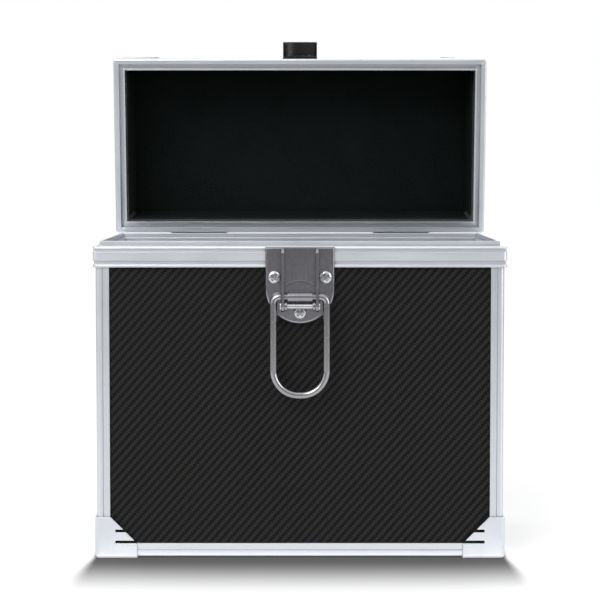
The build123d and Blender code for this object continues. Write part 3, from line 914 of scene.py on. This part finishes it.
class CASE_OT_linings(bpy.types.Operator):
    """Felt in the body and foam in the lid"""
    bl_idname = "case.linings"
    bl_label = "Linings"

    def execute(self, context):
        build_lining("body_wall_felt", "body_wall_lining", felt(BODY))
        build_lining("body_floor_felt", "body_floor_lining", felt(BODY))
        build_lining("lid_wall_foam", "lid_wall_lining", foam(LID))
        build_lining("lid_top_foam", "lid_top_lining", foam(LID))
        return {"FINISHED"}


# ---- Screws and rivets ----
FASTENERS = "fasteners on points"
RIM_SHARE = 0.08  # height of a head's rim, as a share of the head's height
DIMPLE_SLOPE = 0.7  # a dimple is at its deepest this far out, as a share of its radius
SHANK_SIDES = 24
SCREW_ROUNDNESS = 2.2
RIVET_ROUNDNESS = 3.0
CROSS = ("cross_width", "cross_length", "cross_depth")
DIMPLE = ("dimple_radius", "dimple_depth")
FULL_TURN = 6.28
SPIN_SCALE = 900
SPIN_SHIFT = Vector((0.3, 0.7, 0.1))
OUTER = 0.98  # what is further out than this share of the radius belongs to a head's rim
FASTENER_CREASE = radians(35)


def build_fastener_tree():
    """Sets a domed head and its shank on every point, turned to the point's facing."""
    inputs = [
        ("Points", "NodeSocketGeometry", None),
        ("Head radius", FLOAT, 0.003),
        ("Head height", FLOAT, 0.0015),
        ("Roundness", FLOAT, 2.0),
        ("Shank radius", FLOAT, 0.0015),
        ("Shank length", FLOAT, 0.004),
        ("Cross width", FLOAT, 0.0),
        ("Cross length", FLOAT, 0.0),
        ("Cross depth", FLOAT, 0.0),
        ("Dimple radius", FLOAT, 0.0),
        ("Dimple depth", FLOAT, 0.0),
        ("Grid", "NodeSocketInt", 34),
        ("Material", "NodeSocketMaterial", None),
    ]
    outputs = [("Geometry", "NodeSocketGeometry")]
    tree, start, end = new_group(FASTENERS, "GeometryNodeTree", inputs, outputs)
    grid = start["Grid"]
    block = {"Size": (2.0, 2.0, 1.0), "Vertices X": grid, "Vertices Y": grid, "Vertices Z": 2}
    plate = add(tree, "GeometryNodeMeshCube", block)
    x, y, z = split(tree, add(tree, "GeometryNodeInputPosition")[0])

    def on_disc(a, b):
        """Brings the square's a coordinate to a round disc."""
        half_square = times(tree, times(tree, b, b), 0.5)
        return times(tree, a, maths(tree, "SQRT", minus(tree, 1.0, half_square)))

    def within(a, limit):
        return maths(tree, "LESS_THAN", size_of(tree, a), limit)

    def arm(across, along):
        narrow = within(across, start["Cross width"])
        return times(tree, narrow, within(along, start["Cross length"]))

    # The dome's height over each point of the disc
    dx = on_disc(x, y)
    dy = on_disc(y, x)
    far = maths(tree, "MINIMUM", slant(tree, dx, dy), 1.0)
    bulge = minus(tree, 1.0, maths(tree, "POWER", far, start["Roundness"]))
    bulge = maths(tree, "MAXIMUM", bulge, 0.0)
    bulge = maths(tree, "POWER", bulge, maths(tree, "DIVIDE", 1.0, start["Roundness"]))
    rim = times(tree, start["Head height"], RIM_SHARE)
    top = plus(tree, rim, times(tree, minus(tree, start["Head height"], rim), bulge))

    # The cross or the dimple that is sunk in it
    both_arms = maths(tree, "MAXIMUM", arm(dx, dy), arm(dy, dx))
    cross = times(tree, both_arms, start["Cross depth"])
    soft = times(tree, start["Dimple radius"], DIMPLE_SLOPE)
    dip = ramp(tree, far, start["Dimple radius"], soft, smooth=True)
    dimple = times(tree, dip, start["Dimple depth"])
    top = minus(tree, minus(tree, top, cross), dimple)
    height = times(tree, top, maths(tree, "GREATER_THAN", z, 0.0))
    head_x = times(tree, dx, start["Head radius"])
    head_y = times(tree, dy, start["Head radius"])
    place = add(tree, "ShaderNodeCombineXYZ", {0: head_x, 1: head_y, 2: height})
    moved = {"Geometry": plate["Mesh"], "Position": place[0]}
    head = add(tree, "GeometryNodeSetPosition", moved)

    # The shank, hung under the head
    length = start["Shank length"]
    rod = {"Vertices": SHANK_SIDES, "Radius": start["Shank radius"], "Depth": length}
    shank = add(tree, "GeometryNodeMeshCylinder", rod)
    lower = add(tree, "ShaderNodeCombineXYZ", {2: times(tree, length, -0.5)})
    moved = {"Geometry": shank["Mesh"], "Translation": lower[0]}
    sunk = add(tree, "GeometryNodeTransform", moved)
    whole = tree.nodes.new("GeometryNodeJoinGeometry")
    tree.links.new(head[0], whole.inputs[0])
    tree.links.new(sunk[0], whole.inputs[0])

    # One copy on each point, turned to the point's facing and spun about it
    def on_point(name, kind):
        named = add(tree, "GeometryNodeInputNamedAttribute", {"Name": name}, data_type=kind)
        return named[0]

    facing = on_point("facing", "FLOAT_VECTOR")
    spin = on_point("spin", "FLOAT")
    aim = add(tree, "FunctionNodeAlignRotationToVector", {"Vector": facing}, axis="Z")
    about = add(tree, "ShaderNodeCombineXYZ", {2: spin})
    both = {"Rotation": aim[0], "Rotate By": about[0]}
    turned = add(tree, "FunctionNodeRotateRotation", both, rotation_space="LOCAL")
    copied = {"Points": start["Points"], "Instance": whole.outputs[0]}
    copied["Rotation"] = turned[0]
    copies = add(tree, "GeometryNodeInstanceOnPoints", copied)
    real = add(tree, "GeometryNodeRealizeInstances", {"Geometry": copies[0]})
    painted = {"Geometry": real[0], "Material": start["Material"]}
    give(tree, end, Geometry=add(tree, "GeometryNodeSetMaterial", painted)[0])
    return tree


def seats_of(node, facing, head_height):
    """Where each fastener of a node sits, with the lid shut: the middle of its head's underside."""
    seats = []
    for island in islands(node):
        middle = middle_of(island)
        top = max(p.dot(facing) for p in island)
        seats.append(middle + facing * (top - head_height - middle.dot(facing)))
    return seats


def points_at(name, seats, facing, back):
    """A mesh with a point on each seat that holds its facing and spin, back in the lid's place."""
    mesh = bpy.data.meshes.new(name)
    mesh.from_pydata([back @ p for p in seats], [], [])
    mesh.attributes.new("facing", "FLOAT_VECTOR", "POINT")
    mesh.attributes.new("spin", "FLOAT", "POINT")
    for i, seat in enumerate(seats):
        spin = FULL_TURN * abs(noise.noise(seat * SPIN_SCALE + SPIN_SHIFT))
        mesh.attributes["facing"].data[i].vector = back.to_3x3() @ facing
        mesh.attributes["spin"].data[i].value = spin
    return mesh


def build_fasteners(name, node, facing, material, sizes):
    """One set of like fasteners, in place of a CAD node."""
    tree = bpy.data.node_groups.get(FASTENERS) or build_fastener_tree()
    back = closing(node).inverted()
    seats = seats_of(node, facing, sizes["Head height"])
    points = new_object(name + "_points", points_at(name + "_points", seats, facing, back))
    modifier = points.modifiers.new("fasteners", "NODES")
    modifier.node_group = tree
    for label, value in {**sizes, "Material": material}.items():
        modifier[tree.interface.items_tree[label].identifier] = value
    bpy.context.view_layer.update()
    evaluated = points.evaluated_get(bpy.context.evaluated_depsgraph_get())
    mesh = bpy.data.meshes.new_from_object(evaluated)
    mesh.name = name
    bpy.data.objects.remove(points)
    if not mesh.polygons:
        raise RuntimeError(f"{name} came out empty")
    stand_in(name, mesh, FASTENER_CREASE, node)


def head_size(node, facing):
    """Radius and height of a fastener's head, and its shank's, from one solid of its node."""
    island = islands(node)[0]
    middle = middle_of(island)
    far = [((p - middle) - facing * (p - middle).dot(facing)).length for p in island]
    along = [p.dot(facing) for p in island]
    radius = max(far)
    end = min(along)
    shank = min(f for a, f in zip(along, far) if a < end + TOUCHING and f > APART)
    underside = min(a for a, f in zip(along, far) if f > radius * OUTER)
    return radius, max(along) - underside, shank, underside - end


def fastener_sizes(node, facing, roundness, recess):
    """What the fastener tree is given, with the settings of the recess that its heads have."""
    s = bpy.context.scene.case_fasteners
    radius, height, shank, length = head_size(node, facing)
    return {
        "Head radius": radius,
        "Head height": height,
        "Roundness": roundness,
        "Shank radius": shank,
        "Shank length": length,
        "Grid": s.grid,
        **{name.replace("_", " ").capitalize(): getattr(s, name) for name in recess},
    }


class CASE_OT_screws(bpy.types.Operator):
    """Domed screws with a cross recess, in the latch's base"""
    bl_idname = "case.screws"
    bl_label = "Screws"

    def execute(self, context):
        node = "latch_screws"
        sizes = fastener_sizes(node, FRONT, SCREW_ROUNDNESS, CROSS)
        steel = pressed("screw", BODY)
        build_fasteners("latch_screw_set", node, FRONT, steel, sizes)
        return {"FINISHED"}


class CASE_OT_rivets(bpy.types.Operator):
    """Set rivets with a dimple, in the hinges, the catch and the handle's brackets"""
    bl_idname = "case.rivets"
    bl_label = "Rivets"

    def execute(self, context):
        on_body, on_lid = pressed("rivet", BODY), pressed("rivet", LID)
        sets = [
            ("hinge_body_rivet_set", "hinge_body_rivets", BACK, on_body, "rivet_steel"),
            ("hinge_lid_rivet_set", "hinge_lid_rivets", BACK, on_lid, "rivet_steel"),
            # The catch's rivets take the catch's black, which is painted shade
            ("catch_rivet_set", "catch_rivets", FRONT, painted_shade_enamel(LID), "catch_black"),
            ("handle_rivet_set", "handle_rivets", TOP, on_lid, "rivet_steel"),
        ]
        for name, node, facing, material, slot in sets:
            sizes = fastener_sizes(node, facing, RIVET_ROUNDNESS, DIMPLE)
            build_fasteners(name, node, facing, material, sizes)
        return {"FINISHED"}


# ---- Stage ----
FLOOR_SIDES = 96
FLOOR_RADIUS = 6.0
FADE = (0.3, 1.25)  # how far out the floor starts to fade, and where it has gone white
CARD_FULL = 0.98  # cosine of the angle from straight ahead inside which the card is darkest

# A name, the setting with its power, its place, what it points at, and its width and height
LAMPS = (
    ("key lamp", "key", (-0.6, -1.0, 1.0), (0, 0, 0.13), (0.9, 0.9)),
    ("fill lamp", "fill", (1.1, -0.7, 0.5), (0, 0, 0.13), (0.6, 0.9)),
    ("back lamp", "back", (0.3, 1.2, 1.0), (0, 0, 0.15), (0.9, 0.6)),
)


def foot_of_case():
    """The box round the body's corner guards."""
    guards = [n for n in nodes_named("_corner_guard") if body_of_node(n) == BODY]
    return box_of([p for node in guards for p in islands(node)[0]])


def foot_shade(tree, here, s):
    """1 at the case's foot, falling to 0: slowly in front, fast at the sides and behind."""
    low, high = foot_of_case()
    half = (high - low) / 2
    x, y, _ = split(tree, vector_maths(tree, "SUBTRACT", here, (low + high) / 2))
    beside = minus(tree, size_of(tree, x), half.x - s.shade_inset)
    beside = maths(tree, "MAXIMUM", beside, 0.0)
    behind = times(tree, minus(tree, y, half.y), s.shade_narrow)
    before = minus(tree, times(tree, y, -1.0), half.y)
    before = maths(tree, "MAXIMUM", maths(tree, "MAXIMUM", before, behind), 0.0)
    beside = times(tree, beside, s.shade_narrow)
    soften = plus(tree, times(tree, before, s.shade_soften), 1.0)
    away = slant(tree, maths(tree, "DIVIDE", beside, soften), before)
    return ramp(tree, away, 0.0, s.shade_reach, 1.0, 0.0, smooth=True)


def build_floor(s):
    """A pale floor, shaded at the case's foot, that fades to white far away."""
    bm = bmesh.new()
    bmesh.ops.create_circle(bm, cap_ends=True, segments=FLOOR_SIDES, radius=FLOOR_RADIUS)
    mesh = bpy.data.meshes.new("floor")
    bm.to_mesh(mesh)
    bm.free()
    floor = new_object("floor", mesh)
    material, tree, shader = new_material("floor_paint", specular_ior_level=0.1)
    here = add(tree, "ShaderNodeTexCoord")["Object"]
    uneven = noise_texture(tree, here, 30.0, 3.0)
    wire_up(tree, shader.inputs["Roughness"], between(tree, uneven, 0.85, 0.95))
    far = ramp(tree, vector_maths(tree, "LENGTH", here), *FADE, smooth=True)
    path = add(tree, "ShaderNodeLightPath")
    foot = foot_shade(tree, here, s)
    shade = between(tree, times(tree, foot, path["Is Camera Ray"]), 1.0, s.shade_dark)
    lit = blend_colour(tree, far, s.floor, BLACK)
    wire_up(tree, shader.inputs["Base Color"], blend_colour(tree, shade, BLACK, lit))

    # The glow, as the camera sees it and as the metal mirrors it
    seen = between(tree, far, s.glow, 1.0)
    mirrored = between(tree, far, s.sheen, s.front)
    mirrored = plus(tree, mirrored, times(tree, foot, s.bounce))
    seen = times(tree, seen, path["Is Camera Ray"])
    glow = plus(tree, seen, times(tree, mirrored, path["Is Glossy Ray"]))
    glow = blend_colour(tree, times(tree, glow, shade), BLACK, WHITE)
    wire_up(tree, shader.inputs["Emission Color"], glow)
    shader.inputs["Emission Strength"].default_value = 1.0
    mesh.materials.append(material)


def stand(name, data, place, aim):
    """Puts a lamp or a camera in its place, pointed at its aim."""
    obj = new_object(name, data)
    obj.location = place
    obj.rotation_euler = (Vector(aim) - Vector(place)).to_track_quat("-Z", "Y").to_euler()
    return obj


def build_lamp(name, place, aim, size, power):
    data = bpy.data.lights.new(name, "AREA")
    data.shape = "RECTANGLE"
    data.size, data.size_y = size
    data.energy = power
    stand(name, data, place, aim)


def build_sky(s):
    """White where it is seen, even and soft as light, and with a dark card for what mirrors it."""
    world = bpy.data.worlds.new("studio")
    bpy.context.scene.world = world
    world.use_nodes = True
    tree = world.node_tree
    shine = tree.nodes["Background"]
    path = add(tree, "ShaderNodeLightPath")
    way = add(tree, "ShaderNodeTexCoord")["Generated"]
    ahead = vector_maths(tree, "DOT_PRODUCT", way, tuple(FRONT))
    card = ramp(tree, ahead, s.card_edge, CARD_FULL, s.around, s.front, smooth=True)
    light = between(tree, path["Is Glossy Ray"], s.sky, card)
    wire_up(tree, shine.inputs["Color"], (*WHITE, 1.0))
    wire_up(tree, shine.inputs["Strength"], between(tree, path["Is Camera Ray"], light, 1.0))


class CASE_OT_stage(bpy.types.Operator):
    """Pale floor, soft lamps and the camera"""
    bl_idname = "case.stage"
    bl_label = "Stage"

    def execute(self, context):
        s = context.scene.case_stage
        build_floor(s)
        build_sky(s)
        for name, setting, place, aim, size in LAMPS:
            build_lamp(name, place, aim, size, getattr(s, setting))
        data = bpy.data.cameras.new("camera")
        data.lens = s.lens
        data.shift_y = s.drop
        context.scene.camera = stand("camera", data, s.eye, s.aim)
        context.scene.view_settings.view_transform = "Standard"
        return {"FINISHED"}


# ---- Add-on ----
PIECES = (
    CASE_OT_boards,
    CASE_OT_extrusions,
    CASE_OT_corner_guards,
    CASE_OT_hinges,
    CASE_OT_latch,
    CASE_OT_handle,
    CASE_OT_linings,
    CASE_OT_screws,
    CASE_OT_rivets,
    CASE_OT_stage,
)


class CASE_PT_panel(bpy.types.Panel):
    """The case's pieces and their settings"""
    bl_idname = "CASE_PT_panel"
    bl_label = "Record case"
    bl_space_type = "VIEW_3D"
    bl_region_type = "UI"
    bl_category = "Record case"

    def draw(self, context):
        for piece in PIECES:
            self.layout.operator(piece.bl_idname, text=piece.bl_label)
        for name in SETTINGS:
            settings = getattr(context.scene, name)
            for prop in settings.bl_rna.properties:
                if prop.identifier not in ("rna_type", "name"):
                    self.layout.prop(settings, prop.identifier)


def register():
    for kind in SETTINGS.values():
        bpy.utils.register_class(kind)
    for name, kind in SETTINGS.items():
        setattr(bpy.types.Scene, name, PointerProperty(type=kind))
    for piece in PIECES:
        bpy.utils.register_class(piece)
    bpy.utils.register_class(CASE_PT_panel)


def unregister():
    bpy.utils.unregister_class(CASE_PT_panel)
    for piece in reversed(PIECES):
        bpy.utils.unregister_class(piece)
    for name in SETTINGS:
        delattr(bpy.types.Scene, name)
    for kind in reversed(list(SETTINGS.values())):
        bpy.utils.unregister_class(kind)


def main():
    register()
    build_effects()
    for piece in PIECES:
        group, name = piece.bl_idname.split(".")
        getattr(getattr(bpy.ops, group), name)()


if __name__ == "__main__":
    main()
